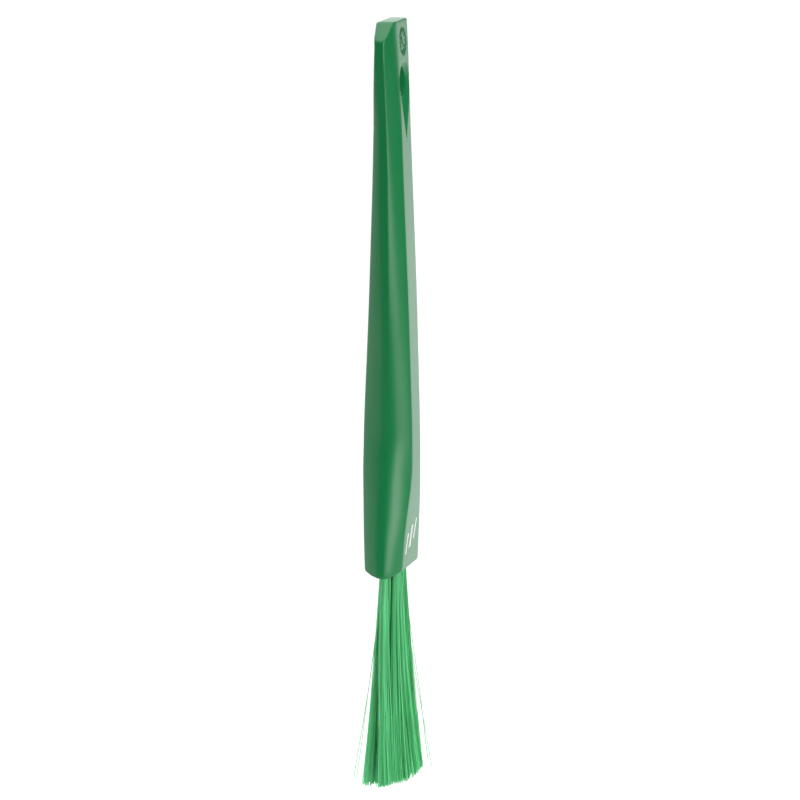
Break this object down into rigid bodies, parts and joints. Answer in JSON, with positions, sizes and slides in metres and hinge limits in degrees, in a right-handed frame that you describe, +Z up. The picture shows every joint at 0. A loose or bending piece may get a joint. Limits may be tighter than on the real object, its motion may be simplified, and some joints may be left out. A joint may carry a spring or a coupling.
{
  "type": "scrub brush",
  "caption": "Slim hand brush with a one-piece moulded handle, a flared head, a hanging hole in a teardrop dish and a bunch of long soft filaments.",
  "frame": {"origin": "centre of the hanging hole, halfway through the handle, where the brush hangs", "axes": "+Z up along the handle, away from the filaments; -Y out of the front face with the marks; X across the head"},
  "size_m": [0.0336, 0.0161, 0.2277],
  "materials": {
    "handle_plastic": "satin injection-moulded polypropylene, mid green",
    "filament": "soft polyester filament, lighter green",
    "anchor_steel": "plain stainless anchor strip"
  },
  "bodies": {
    "root": {"handle": "handle_plastic", "tuft_middle_1": "filament", "tuft_middle_2": "filament", "tuft_middle_3": "filament", "tuft_middle_4": "filament", "tuft_middle_5": "filament", "tuft_middle_6": "filament", "tuft_front_1": "filament", "tuft_front_2": "filament", "tuft_front_3": "filament", "tuft_back_1": "filament", "tuft_back_2": "filament", "tuft_back_3": "filament", "anchor_middle_1": "anchor_steel", "anchor_middle_2": "anchor_steel", "anchor_middle_3": "anchor_steel", "anchor_middle_4": "anchor_steel", "anchor_middle_5": "anchor_steel", "anchor_middle_6": "anchor_steel", "anchor_front_1": "anchor_steel", "anchor_front_2": "anchor_steel", "anchor_front_3": "anchor_steel", "anchor_back_1": "anchor_steel", "anchor_back_2": "anchor_steel", "anchor_back_3": "anchor_steel"}
  },
  "joints": []
}
